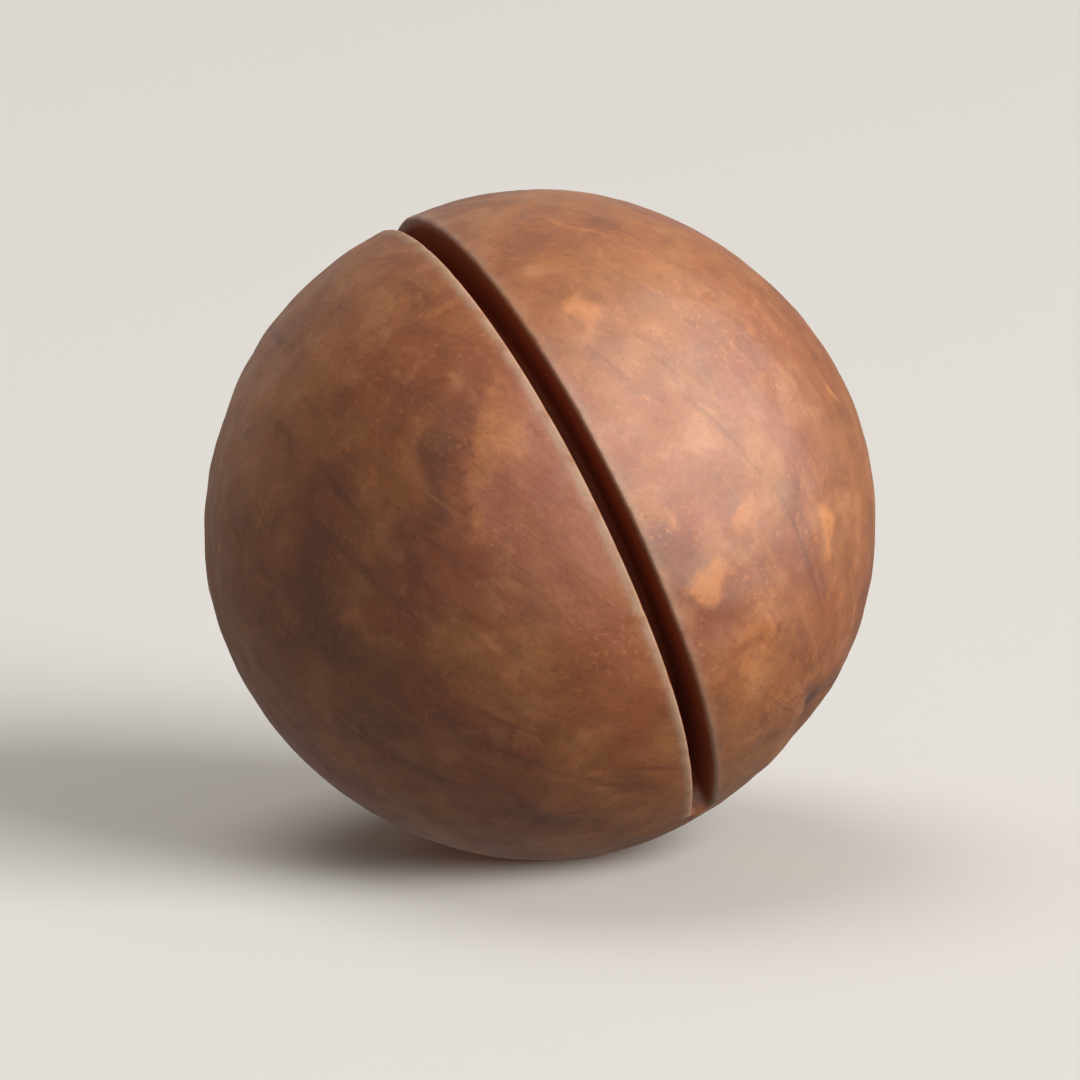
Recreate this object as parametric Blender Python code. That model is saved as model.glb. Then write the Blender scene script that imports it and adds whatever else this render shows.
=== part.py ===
"""A macadamia nut in its shell, sawn half way round so that it can be cracked open.

Metres, +Z up. The origin is the centre of the small flat spot that the nut rests on, and the saw
cut faces -Y.

The nut is one solid. It starts as a ball whose grid has its poles at the nut's own two ends, the
micropyle and the hilum. One formula then moves each point in or out: a slightly flattened body,
low lumps, the ring at the micropyle with ridges fanning out of it, the dimple at the hilum, and
the suture, a groove that joins the two ends down one side. The slit of the saw is a Boolean cut.
"""

import math
import random

import bmesh
import bpy
from mathutils import Vector

MM = 0.001

# Body
SHELL_RADIUS = 12.5 * MM
FLAT_SPOT_RADIUS = 3.0 * MM
POLAR_FLATTENING = 0.06 * MM
SHELL_COLOUR = (0.305, 0.107, 0.048, 1.0)
SHELL_ROUGHNESS = 0.42

# The two ends of the nut. The micropyle looks up and to the left, and the hilum is opposite.
MICROPYLE = Vector((-0.80, 0.27, 0.54)).normalized()
BACK = Vector((0.0, 1.0, 0.0))
SUTURE_SIDE = (BACK - MICROPYLE * BACK.dot(MICROPYLE)).normalized()
SUTURE_CROSS = MICROPYLE.cross(SUTURE_SIDE)

# Low lumps, which keep the ball from being perfect
LUMP_SEED = 27
LUMP_COUNT = 9
LUMP_HEIGHT = 0.024 * MM
LUMP_LENGTHS = (7.0 * MM, 17.0 * MM)

# Micropyle: a broad blunt point, and on it an oval ring with a dent inside and a moat round it
POINT_HEIGHT = 0.05 * MM
POINT_SPREAD = 5.2 * MM
RING_RADIUS = 0.82 * MM
RING_HEIGHT = 0.12 * MM
RING_UNEVENNESS = 0.45
RING_TALLEST = math.radians(35.0)
RING_WIDTH = 0.32 * MM
RING_OVAL = 1.30
DENT_DEPTH = 0.24 * MM
DENT_WIDTH = 0.40 * MM
MOAT_RADIUS = 1.42 * MM
MOAT_DEPTH = 0.08 * MM
MOAT_WIDTH = 0.28 * MM

# Ridges that fan out of the micropyle, most of them to one side, with narrow valleys between them
FAN_RIDGES = 15
FAN_HEIGHT = 0.27 * MM
FAN_CREST_SHARE = 0.35
FAN_SHARPNESS = 1.6
FAN_LEAST = 0.02
FAN_TALLEST = math.radians(45.0)
# Each sway: waves round the nut, swing in radians, phase
FAN_SWAY = ((1.0, 1.6, 0.7), (3.0, 1.1, 2.1))
FAN_START = (1.4 * MM, 2.8 * MM)
FAN_END = (6.0 * MM, 15.0 * MM)
# How the ridges' lengths vary round the nut: waves, share, phase
FAN_END_SWAY = (5.0, 0.24, 1.0)

# Hilum: a flattened end with a dimple, a low rim and four uneven, twisted creases
HILUM_FLATTENING = 0.07 * MM
HILUM_SPREAD = 5.0 * MM
DIMPLE_DEPTH = 0.36 * MM
DIMPLE_WIDTH = 1.15 * MM
RIM_RADIUS = 2.3 * MM
RIM_HEIGHT = 0.04 * MM
RIM_WIDTH = 0.60 * MM
CREASES = 4
CREASE_DEPTH = 0.13 * MM
CREASE_UNEVENNESS = 0.65
CREASE_DEEPEST = math.radians(190.0)
CREASE_TURN = math.radians(210.0)
CREASE_TWIST = 0.2 / MM
CREASE_START = (0.5 * MM, 1.2 * MM)
CREASE_END = (1.4 * MM, 3.4 * MM)
CREASE_SHARPNESS = 5

# Suture: a groove with a low ridge on each side
SUTURE_DEPTH = 0.14 * MM
SUTURE_WIDTH = 0.38 * MM
SUTURE_RIDGE_HEIGHT = 0.05 * MM
SUTURE_RIDGE_OFFSET = 1.05 * MM
SUTURE_RIDGE_WIDTH = 0.50 * MM
SUTURE_START = (1.5 * MM, 2.4 * MM)
SUTURE_END = (20.0 * MM, 36.0 * MM)

# Saw cut: it lies in one plane, and its angles are counted from the plane's highest point
# towards the front
CUT_NORMAL = Vector((0.876, 0.286, 0.388)).normalized()
CUT_OFFSET = 0.15 * MM
CUT_WIDTH = 0.92 * MM
CUT_DEPTH = 2.8 * MM
CUT_FLOOR_NARROWING = 0.86
CUT_EDGE = 0.13 * MM
CUT_EDGE_SHARE = 0.4
CUT_START = math.radians(-42.0)
CUT_END = math.radians(151.0)
CUT_RISE = math.radians(9.0)
CUT_FADE = math.radians(24.0)
SCORE_LENGTH = math.radians(16.0)
SCORE_WIDTH = 0.30 * MM
SCORE_DEPTH = 0.16 * MM
CUT_STATIONS = 84
CUT_OVERSHOOT = 0.8 * MM
END_STEP = 0.03 * MM

# Grid of the ball, closer at the two ends and along the suture
COLUMNS = 100
ROWS = 46
ROW_CROWDING = 0.38
COLUMN_CROWDING = 0.62


def hill(distance, width):
    """A smooth hill of height 1, with its top at distance 0."""
    return math.exp(-((distance / width) ** 2))


def ramp(value, limits):
    """Rises smoothly from 0 to 1 between the two limits."""
    low, high = limits
    share = min(max((value - low) / (high - low), 0.0), 1.0)
    return share * share * (3.0 - 2.0 * share)


def draw_lumps():
    """Seeded waves in space, each a wave vector with its phase."""
    draw = random.Random(LUMP_SEED)
    waves = []
    for _ in range(LUMP_COUNT):
        heading = Vector([draw.gauss(0.0, 1.0) for _ in range(3)]).normalized()
        length = draw.uniform(*LUMP_LENGTHS)
        phase = draw.uniform(0.0, math.tau)
        waves.append((heading * (math.tau * SHELL_RADIUS / length), phase))
    return waves


LUMPS = draw_lumps()


def lump_relief(direction):
    return LUMP_HEIGHT * sum(math.sin(wave.dot(direction) + phase) for wave, phase in LUMPS)


def micropyle_relief(reach, longitude):
    """Relief round the micropyle, at an arc length of reach from its centre."""
    oval_reach = reach * math.sqrt(
        (math.cos(longitude) / RING_OVAL) ** 2 + math.sin(longitude) ** 2
    )
    point = POINT_HEIGHT * hill(reach, POINT_SPREAD)
    ring_height = RING_HEIGHT * (1.0 + RING_UNEVENNESS * math.cos(longitude - RING_TALLEST))
    ring = ring_height * hill(oval_reach - RING_RADIUS, RING_WIDTH)
    dent = DENT_DEPTH * hill(oval_reach, DENT_WIDTH)
    moat = MOAT_DEPTH * hill(oval_reach - MOAT_RADIUS, MOAT_WIDTH)
    return point + ring - dent - moat


def fan_relief(reach, longitude):
    """Uneven ridges that fan out of the micropyle and fade, tallest on one side of it."""
    sway = sum(swing * math.sin(waves * longitude + phase) for waves, swing, phase in FAN_SWAY)
    side = (0.5 + 0.5 * math.cos(longitude - FAN_TALLEST)) ** 2
    height = FAN_HEIGHT * (FAN_LEAST + (1.0 - FAN_LEAST) * side)
    waves, share, phase = FAN_END_SWAY
    swayed_reach = reach * (1.0 + share * math.sin(waves * longitude + phase))
    strength = ramp(reach, FAN_START) * (1.0 - ramp(swayed_reach, FAN_END))
    valley = (0.5 - 0.5 * math.cos(FAN_RIDGES * longitude + sway)) ** FAN_SHARPNESS
    return height * strength * (FAN_CREST_SHARE - valley)


def hilum_relief(reach, longitude):
    """Relief round the hilum, at an arc length of reach from its centre."""
    flattening = HILUM_FLATTENING * hill(reach, HILUM_SPREAD)
    dimple = DIMPLE_DEPTH * hill(reach, DIMPLE_WIDTH)
    rim = RIM_HEIGHT * hill(reach - RIM_RADIUS, RIM_WIDTH)
    turn = CREASES * longitude + CREASE_TURN + CREASE_TWIST * reach
    notch = (0.5 + 0.5 * math.cos(turn)) ** CREASE_SHARPNESS
    depth = CREASE_DEPTH * (1.0 + CREASE_UNEVENNESS * math.cos(longitude - CREASE_DEEPEST))
    strength = ramp(reach, CREASE_START) * (1.0 - ramp(reach, CREASE_END))
    return rim - flattening - dimple - depth * notch * strength


def suture_relief(reach, across):
    """The groove from end to end, at an arc length of across to one side of it."""
    strength = ramp(reach, SUTURE_START) * (1.0 - ramp(reach, SUTURE_END))
    groove = SUTURE_DEPTH * hill(across, SUTURE_WIDTH)
    ridges = SUTURE_RIDGE_HEIGHT * hill(abs(across) - SUTURE_RIDGE_OFFSET, SUTURE_RIDGE_WIDTH)
    return strength * (ridges - groove)


def surface_radius(direction):
    """Distance from the nut's centre to its surface in one direction."""
    along = min(max(direction.dot(MICROPYLE), -1.0), 1.0)
    colatitude = math.acos(along)
    longitude = math.atan2(direction.dot(SUTURE_CROSS), direction.dot(SUTURE_SIDE))
    reach = SHELL_RADIUS * colatitude
    hilum_reach = SHELL_RADIUS * (math.pi - colatitude)
    across = SHELL_RADIUS * math.sin(colatitude) * longitude
    return (
        SHELL_RADIUS
        - POLAR_FLATTENING * along * along
        + lump_relief(direction)
        + micropyle_relief(reach, longitude)
        + fan_relief(reach, longitude)
        + hilum_relief(hilum_reach, longitude)
        + suture_relief(reach, across)
    )


def grid_direction(corner):
    """Direction of a corner of a plain ball, turned to the nut's ends and crowded as needed."""
    colatitude = math.acos(min(max(corner.z, -1.0), 1.0))
    longitude = math.atan2(corner.y, corner.x)
    colatitude -= ROW_CROWDING * math.sin(2.0 * colatitude)
    longitude -= COLUMN_CROWDING * math.sin(longitude)
    sideways = SUTURE_SIDE * math.cos(longitude) + SUTURE_CROSS * math.sin(longitude)
    return MICROPYLE * math.cos(colatitude) + sideways * math.sin(colatitude)


def cut_flat_spot(ball, centre_height):
    """Slices the lowest cap off, and closes it with a fan of triangles."""
    sliced = bmesh.ops.bisect_plane(
        ball,
        geom=ball.verts[:] + ball.edges[:] + ball.faces[:],
        plane_co=(0.0, 0.0, -centre_height),
        plane_no=(0.0, 0.0, -1.0),
        clear_outer=True,
    )
    rim = [item for item in sliced["geom_cut"] if isinstance(item, bmesh.types.BMEdge)]
    flat = bmesh.ops.contextual_create(ball, geom=rim)["faces"]
    bmesh.ops.poke(ball, faces=flat)


def make_ball(centre_height):
    """The whole nut round its centre, with its flat spot and without the saw cut."""
    ball = bmesh.new()
    bmesh.ops.create_uvsphere(ball, u_segments=COLUMNS, v_segments=ROWS, radius=1.0)
    for corner in ball.verts:
        direction = grid_direction(corner.co.normalized())
        corner.co = direction * surface_radius(direction)
    bmesh.ops.triangulate(ball, faces=ball.faces[:])
    cut_flat_spot(ball, centre_height)
    bmesh.ops.triangulate(ball, faces=ball.faces[:])
    bmesh.ops.recalc_face_normals(ball, faces=ball.faces[:])
    for face in ball.faces:
        face.smooth = True
    return ball


def cut_axes():
    """The cut plane's highest direction, and the direction a quarter turn from it to the front."""
    up = Vector((0.0, 0.0, 1.0))
    highest = (up - CUT_NORMAL * up.dot(CUT_NORMAL)).normalized()
    return highest, CUT_NORMAL.cross(highest)


def cut_section(angle):
    """Width, depth and edge width of the cut at one angle, the score line at its end included."""
    rise = min(max((angle - (CUT_END - CUT_RISE)) / CUT_RISE, 0.0), 1.0)
    blunt_end = math.sqrt(1.0 - rise * rise)
    full = ramp(angle, (CUT_START, CUT_START + CUT_FADE))
    score = ramp(angle, (CUT_START - SCORE_LENGTH, CUT_START))
    depth = (SCORE_DEPTH * score + (CUT_DEPTH - SCORE_DEPTH) * full) * blunt_end
    depth = max(depth, END_STEP)
    width = SCORE_WIDTH + (CUT_WIDTH - SCORE_WIDTH) * math.sqrt(full)
    return width, depth, min(CUT_EDGE, CUT_EDGE_SHARE * depth)


def section_corners(angle):
    """Corners of the saw path's funnel-shaped section at one angle, from the floor outwards."""
    highest, forward = cut_axes()
    outward = highest * math.cos(angle) + forward * math.sin(angle)
    surface = surface_radius(outward)
    width, depth, edge = cut_section(angle)
    floor_half = 0.5 * CUT_FLOOR_NARROWING * width
    mouth_half = 0.5 * width + edge + CUT_OVERSHOOT
    section = (
        (-floor_half, surface - depth),
        (floor_half, surface - depth),
        (0.5 * width, surface - edge),
        (mouth_half, surface + CUT_OVERSHOOT),
        (-mouth_half, surface + CUT_OVERSHOOT),
        (-0.5 * width, surface - edge),
    )
    return [outward * radius + CUT_NORMAL * (CUT_OFFSET + side) for side, radius in section]


def make_cutter():
    """The path of the saw: its section, swept round the nut in the cut plane."""
    cutter = bmesh.new()
    first = CUT_START - SCORE_LENGTH
    step = (CUT_END - first) / CUT_STATIONS
    loops = []
    for station in range(CUT_STATIONS + 1):
        corners = section_corners(first + step * station)
        loops.append([cutter.verts.new(corner) for corner in corners])
    for near, far in zip(loops, loops[1:]):
        for index in range(len(near)):
            following = (index + 1) % len(near)
            cutter.faces.new((near[index], near[following], far[following], far[index]))
    cutter.faces.new(loops[0])
    cutter.faces.new(loops[-1])
    bmesh.ops.triangulate(cutter, faces=cutter.faces[:])
    bmesh.ops.recalc_face_normals(cutter, faces=cutter.faces[:])
    return cutter


def make_object(name, shape, centre_height):
    """An object with its origin at the nut's centre, which stands centre_height up."""
    mesh = bpy.data.meshes.new(name)
    shape.to_mesh(mesh)
    shape.free()
    thing = bpy.data.objects.new(name, mesh)
    thing.location = (0.0, 0.0, centre_height)
    bpy.context.scene.collection.objects.link(thing)
    return thing


def shell_material():
    material = bpy.data.materials.new("nut_shell")
    material.use_nodes = True
    surface = material.node_tree.nodes["Principled BSDF"]
    surface.inputs["Base Color"].default_value = SHELL_COLOUR
    surface.inputs["Roughness"].default_value = SHELL_ROUGHNESS
    surface.inputs["Metallic"].default_value = 0.0
    material.diffuse_color = SHELL_COLOUR
    return material


def build():
    for thing in list(bpy.data.objects):
        bpy.data.objects.remove(thing, do_unlink=True)
    centre_height = math.sqrt(SHELL_RADIUS**2 - FLAT_SPOT_RADIUS**2)
    nut = make_object("nut", make_ball(centre_height), centre_height)
    nut.data.materials.append(shell_material())
    saw_path = make_object("saw_path", make_cutter(), centre_height)
    saw_path.hide_render = True
    saw_path.display_type = "WIRE"
    slit = nut.modifiers.new("slit", "BOOLEAN")
    slit.operation = "DIFFERENCE"
    slit.solver = "EXACT"
    slit.object = saw_path


build()
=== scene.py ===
"""Looks of a macadamia nut in its shell: one fine mesh that stands for the solid nut.

The mesh is a grid round the nut. Its columns are angles in the plane of the saw cut, and its rows
are parallel to that plane, so they fold down the walls of the slit and across its floor. The same
formula as in the nut's solid gives the form, and finer relief lies on top of it. Masks for the
material are kept as point attributes. A side of the cut is -1 for the near one, on its left as the
camera sees it, and 1 for the far one.
"""

import math
import random

import bpy
import numpy as np
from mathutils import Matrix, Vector


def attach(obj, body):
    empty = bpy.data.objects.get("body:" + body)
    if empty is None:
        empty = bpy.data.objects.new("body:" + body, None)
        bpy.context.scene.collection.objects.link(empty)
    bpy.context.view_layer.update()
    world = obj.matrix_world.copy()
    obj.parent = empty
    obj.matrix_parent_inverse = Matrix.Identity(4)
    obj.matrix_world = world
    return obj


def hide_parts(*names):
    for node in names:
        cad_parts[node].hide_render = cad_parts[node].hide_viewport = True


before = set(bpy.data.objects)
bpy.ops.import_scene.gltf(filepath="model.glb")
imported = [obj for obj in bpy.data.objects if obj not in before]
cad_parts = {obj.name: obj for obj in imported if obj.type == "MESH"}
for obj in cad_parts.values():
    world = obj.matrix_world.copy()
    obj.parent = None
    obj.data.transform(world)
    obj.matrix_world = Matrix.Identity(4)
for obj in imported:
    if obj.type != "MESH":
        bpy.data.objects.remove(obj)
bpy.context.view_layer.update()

MM = 0.001

# Body, as in the solid
SHELL_RADIUS = 12.5 * MM
FLAT_SPOT_RADIUS = 3.0 * MM
CENTRE_HEIGHT = math.sqrt(SHELL_RADIUS**2 - FLAT_SPOT_RADIUS**2)
POLAR_FLATTENING = 0.06 * MM
FOOT_ROUNDING = 0.02 * MM

# The two ends of the nut, and the side that the suture runs down
MICROPYLE = Vector((-0.80, 0.27, 0.54)).normalized()
BACK = Vector((0.0, 1.0, 0.0))
SUTURE_SIDE = (BACK - MICROPYLE * BACK.dot(MICROPYLE)).normalized()
SUTURE_CROSS = MICROPYLE.cross(SUTURE_SIDE)

# Low lumps
LUMP_SEED = 27
LUMP_COUNT = 9
LUMP_HEIGHT = 0.024 * MM
LUMP_LENGTHS = (7.0 * MM, 17.0 * MM)

# Micropyle
POINT_HEIGHT = 0.05 * MM
POINT_SPREAD = 5.2 * MM
RING_RADIUS = 0.82 * MM
RING_HEIGHT = 0.12 * MM
RING_UNEVENNESS = 0.45
RING_TALLEST = math.radians(35.0)
RING_WIDTH = 0.32 * MM
RING_OVAL = 1.30
DENT_DEPTH = 0.24 * MM
DENT_WIDTH = 0.40 * MM
MOAT_RADIUS = 1.42 * MM
MOAT_DEPTH = 0.08 * MM
MOAT_WIDTH = 0.28 * MM

# Ridges that fan out of the micropyle, most of them to one side, with narrow valleys between them
FAN_RIDGES = 15
FAN_HEIGHT = 0.27 * MM
FAN_CREST_SHARE = 0.35
FAN_SHARPNESS = 1.6
FAN_LEAST = 0.02
FAN_TALLEST = math.radians(45.0)
# Each sway: waves round the nut, swing in radians, phase
FAN_SWAY = ((1.0, 1.6, 0.7), (3.0, 1.1, 2.1))
FAN_START = (1.4 * MM, 2.8 * MM)
FAN_END = (6.0 * MM, 15.0 * MM)
# How the ridges' lengths vary round the nut: waves, share, phase
FAN_END_SWAY = (5.0, 0.24, 1.0)

# Hilum
HILUM_FLATTENING = 0.07 * MM
HILUM_SPREAD = 5.0 * MM
DIMPLE_DEPTH = 0.36 * MM
DIMPLE_WIDTH = 1.15 * MM
RIM_RADIUS = 2.3 * MM
RIM_HEIGHT = 0.04 * MM
RIM_WIDTH = 0.60 * MM
CREASES = 4
CREASE_DEPTH = 0.13 * MM
CREASE_UNEVENNESS = 0.65
CREASE_DEEPEST = math.radians(190.0)
CREASE_TURN = math.radians(210.0)
CREASE_TWIST = 0.2 / MM
CREASE_START = (0.5 * MM, 1.2 * MM)
CREASE_END = (1.4 * MM, 3.4 * MM)
CREASE_SHARPNESS = 5

# Suture
SUTURE_DEPTH = 0.14 * MM
SUTURE_WIDTH = 0.38 * MM
SUTURE_RIDGE_HEIGHT = 0.05 * MM
SUTURE_RIDGE_OFFSET = 1.05 * MM
SUTURE_RIDGE_WIDTH = 0.50 * MM
SUTURE_START = (1.5 * MM, 2.4 * MM)
SUTURE_END = (20.0 * MM, 36.0 * MM)

# Saw cut
CUT_NORMAL = Vector((0.876, 0.286, 0.388)).normalized()
CUT_OFFSET = 0.15 * MM
CUT_WIDTH = 0.92 * MM
CUT_DEPTH = 2.8 * MM
CUT_FLOOR_NARROWING = 0.86
CUT_FLOOR_BULGE = 0.12
CUT_EDGE = 0.12 * MM
CUT_EDGE_SHARE = 0.4
CUT_EDGE_LEAST = 0.1 * CUT_EDGE
CUT_START = math.radians(-42.0)
CUT_END = math.radians(151.0)
CUT_RISE = math.radians(9.0)
CUT_FADE = math.radians(24.0)
SCORE_LENGTH = math.radians(16.0)
SCORE_WIDTH = 0.30 * MM
SCORE_DEPTH = 0.16 * MM
CUT_OPENS_AT = 0.25 * MM
# Share of the width that is left between the slit's rows where they lie closed on the shell
CLOSED_ROW_SPREAD = 0.03
SAW_MARK_HEIGHT = 0.010 * MM
SAW_MARKS = 150
SAW_MARK_SLANT = 3.0

# Chips of the slit's edges
CHIP_SEED = 8
CHIP_DEPTH = 0.035 * MM
CHIP_COUNT = 16
CHIP_WAVES = (14, 95)
CHIP_START = 0.6
CHIP_MOST = 2.0

# Pale wear of the slit's edges, painted lit on the near lip and painted in shade on the far one:
# the far one's share of it, and how far it reaches over the shell
FAR_LIP_SHADED_WEAR = 0.42
LIP_WEAR_REACH = 0.22 * MM
# Where the near rounded edge turns from shell to cut and takes the slit's painted shade, as a share
# of the way down it
NEAR_EDGE_CUT = (0.2, 0.9)
# How much faster than the slit itself its cut look sets in
CUT_LOOK_GAIN = 3.0

# The shell is less polished on the near side of the slit, and least of all close to it
NEAR_POLISH = 0.18
LEFT_POLISH = 0.60
LEFT_POLISH_RISE = (2.0 * MM, 9.0 * MM)
POLISH_RISE = (-0.3 * MM, 0.3 * MM)

# Fine relief on the shell, which stays clear of its two ends apart from the dimpling
CALM_MICROPYLE = 2.2 * MM
CALM_HILUM = 1.6 * MM
WRINKLE_HEIGHT = 0.012 * MM
WRINKLE_LENGTHS = (2.2 * MM, 5.0 * MM)
WRINKLE_WIDTH = 0.16
WRINKLE_SEED = 61
DIMPLING_HEIGHT = 0.008 * MM
DIMPLING_LENGTHS = (1.2 * MM, 3.0 * MM)
DIMPLING_SEED = 19
FIELD_WAVES = 36

# Spots: how far they turn from the nut's own axis, in radians, how much they bend, how sharp their
# rims are, and the least cosine between a spot's middle and a point in it
SPOT_TURN = 0.5
SPOT_BEND = 0.35
SHOWN_SPOT_BEND = 0.15
SPOT_SHARPNESS = 1.3
SPOT_SIDE = 0.5

# Golden flecks, slightly raised
FLECK_SEED = 35
FLECK_COUNT = 110
FLECK_HEIGHT = 0.040 * MM
FLECK_LENGTHS = (0.45 * MM, 1.15 * MM)
FLECK_WIDTHS = (0.22 * MM, 0.42 * MM)
FLECK_STRENGTHS = (0.10, 0.62)
HILUM_FLECKS = 26
HILUM_FLECK_REACH = (2.6 * MM, 6.5 * MM)
HILUM_FLECK_LENGTHS = (0.35 * MM, 0.80 * MM)
HILUM_FLECK_WIDTHS = (0.20 * MM, 0.34 * MM)
HILUM_FLECK_BEND = 0.2
HILUM_FLECK_STRENGTHS = (0.15, 0.50)
# Flecks seen on this nut, the first two with painted glints and one beside the slit a painted
# highlight, right of and above its centre in nut radii, then their half length and half width in
# mm, their turn in degrees and their strength
SHOWN_FLECKS_AND_GLINTS = (
    # Painted glints on raised flecks, this one and the next
    (0.50, -0.19, 1.30, 0.85, 15.0, 0.90),
    (0.86, -0.03, 1.20, 0.60, 80.0, 0.80),
    (0.64, 0.40, 1.15, 0.45, 70.0, 0.40),
    (0.43, 0.28, 0.90, 0.35, 95.0, 0.30),
    (0.72, -0.33, 0.80, 0.40, 60.0, 0.38),
    (-0.14, 0.24, 2.60, 1.00, 80.0, 0.62),
    (-0.18, 0.03, 1.60, 0.70, 85.0, 0.46),
    # A painted highlight beside the slit
    (0.34, 0.01, 1.60, 0.60, 114.0, 0.42),
    (0.62, -0.42, 2.40, 1.50, 45.0, 0.46),
    (0.06, -0.12, 1.40, 0.60, 70.0, 0.15),
    (-0.09, -0.44, 0.85, 0.42, 85.0, 0.40),
    (-0.05, -0.65, 0.80, 0.40, 80.0, 0.48),
    (0.17, -0.58, 0.80, 0.38, 65.0, 0.20),
    (-0.36, -0.05, 0.60, 0.32, 80.0, 0.28),
    (-0.34, 0.42, 0.80, 0.34, 60.0, 0.28),
)

# Dark shades, drawn out towards the nut's ends
SHADE_SEED = 52
SHADE_COUNT = 60
SHADE_LENGTHS = (1.2 * MM, 3.6 * MM)
SHADE_WIDTHS = (0.35 * MM, 1.10 * MM)
SHADE_STRENGTHS = (0.15, 0.65)
# Dark marks seen on this nut, given like its flecks; those on the far left, lower left and bottom,
# and the two along the slit, are painted shade
SHOWN_MARKS_AND_PAINTED_SHADE = (
    (-0.31, 0.16, 2.6, 0.50, 84.0, 0.80),
    (-0.37, -0.12, 1.3, 0.80, 90.0, 0.60),
    (-0.63, -0.08, 3.6, 1.70, 95.0, 0.45),
    (-0.45, -0.50, 2.8, 1.50, 60.0, 0.45),
    (0.10, -0.88, 3.2, 1.30, 0.0, 0.50),
    (0.43, 0.30, 0.7, 0.20, 85.0, 0.30),
    (0.17, -0.30, 4.4, 1.20, 112.0, 0.40),
    (0.28, -0.62, 2.0, 1.20, 104.0, 0.32),
)
# Ruddy bands beside the slit, given like its flecks: a redder colour that also paints shade there
SHOWN_RUDDY_PAINTED_SHADE = (
    (0.13, -0.18, 6.4, 1.70, 113.0, 0.90),
    (0.27, -0.60, 2.6, 1.50, 104.0, 0.80),
)

# Uneven warping that keeps the flecks and swirls from being plain ovals and lines
WARP = 0.26 * MM
WARP_LENGTHS = (1.6 * MM, 4.0 * MM)
WARP_SEEDS = (71, 72, 73)

# Golden swirls, which stand a little proud in patches and are drawn out towards the nut's ends
SWIRL_SEED = 44
SWIRL_LENGTHS = (3.2 * MM, 7.0 * MM)
SWIRL_STRETCH = 0.5
SWIRL_WIDTH = 0.26
SWIRL_HEIGHT = 0.024 * MM
BREAK_SEED = 47
BREAK_LENGTHS = (2.2 * MM, 5.0 * MM)
BREAK_LIMITS = (-0.5, 1.1)
PATCH_SEED = 95
PATCH_LENGTHS = (9.0 * MM, 17.0 * MM)
PATCH_LIMITS = (0.1, 1.3)

# How far the colours of the suture and the micropyle reach
SUTURE_DARKENING_WIDTH = 0.7 * SUTURE_WIDTH
MICROPYLE_RIM = (0.90 * MM, 1.25 * MM)
MOAT_STAIN_RADIUS = 1.1 * MOAT_RADIUS
MOAT_STAIN_WIDTH = 1.8 * MOAT_WIDTH
DENT_DARKENING_WIDTH = 1.15 * DENT_WIDTH

# Grid
COLUMNS = 432
SIDE_ROWS = 94
ROW_CROWDING = 0.35
EDGE_ROWS = 4
WALL_ROWS = 7
FLOOR_ROWS = 6

# Colours
DARK_SHELL = (0.120, 0.028, 0.010, 1.0)
RED_SHELL = (0.275, 0.066, 0.019, 1.0)
WARM_SHELL = (0.378, 0.135, 0.037, 1.0)
GOLD = (0.590, 0.215, 0.060, 1.0)
TAN = (0.540, 0.232, 0.095, 1.0)
PALE_WOOD = (0.440, 0.265, 0.175, 1.0)
CREAM = (0.760, 0.430, 0.235, 1.0)
DENT_BROWN = (0.230, 0.095, 0.038, 1.0)
# Painted shade inside the slit, red-brown instead of the paler cut shell, the second towards its
# floor
SLIT_SHADE_BROWN = (0.300, 0.070, 0.014, 1.0)
SLIT_DEEP_SHADE = (0.340, 0.070, 0.010, 1.0)

# Noises: waves a metre, detail, roughness and distortion
MOTTLE_NOISE = (150.0, 4.0, 0.55, 0.6)
PATCH_NOISE = (320.0, 4.0, 0.55, 0.8)
BLOTCH_NOISE = (560.0, 4.0, 0.6, 0.4)
RAGGED_NOISE = (1500.0, 5.0, 0.65, 0.0)
SPECKLE_NOISE = (4200.0, 3.0, 0.6, 0.0)
DRIFT_NOISE = (380.0, 2.0, 0.5, 0.0)
GRAIN_NOISE = (3400.0, 3.0, 0.6, 0.0)
WEAR_NOISE = (1500.0, 3.0, 0.6, 0.0)
GLOSS_NOISE = (800.0, 3.0, 0.6, 0.0)
BUMP_NOISE = (2300.0, 4.0, 0.6, 0.0)
# Pores a metre
PORE_SCALE = 2600.0
# Streaks and fibres run on the coordinates round the nut's own axis, stretched by these
STREAK_NOISE = (1.0, 5.0, 0.6, 0.4)
STREAK_STRETCH = (11.0, 11.0, 1.6)
FIBRE_NOISE = (1.0, 4.0, 0.6, 0.5)
FIBRE_STRETCH = (34.0, 34.0, 5.0)

# Tints: the value where each starts, the value where it is full, and its share of the colour there
PATCH_TINT = (0.46, 0.75, 0.30)
DARK_BLOTCH_TINT = (0.49, 0.36, 0.30)
PALE_BLOTCH_TINT = (0.52, 0.66, 0.32)
SHADE_TINT = (0.0, 0.9, 0.70)
PALE_STREAK_TINT = (0.55, 0.72, 0.50)
DARK_STREAK_TINT = (0.45, 0.30, 0.45)
FLECK_TINT = (0.16, 0.80, 0.80)
SWIRL_TINT = (0.1, 0.9, 0.35)
RUDDY_TINT = (0.0, 0.85, 0.75)
GRAIN_TINT = (0.46, 0.32, 0.22)
PORE_TINT = (0.17, 0.06, 0.45)
# Painted shade in the valleys of the micropyle's folds and painted light on their crests
VALLEY_SHADE_TINT = (-0.05, -0.55, 0.60)
CREST_HIGHLIGHT_TINT = (0.05, 0.32, 0.35)

# How much the suture, the moat, the dent and the hilum darken the colour where their mask is full
SUTURE_DARKENING = 0.75
MOAT_STAIN = 0.70
DENT_DARKENING = 0.55
HILUM_DARKENING = 0.55

# How much the rims of flecks and swirls fray, and how much of the micropyle's rim is worn away
RAGGEDNESS = 0.9
MICROPYLE_WEAR = 0.55

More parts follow.
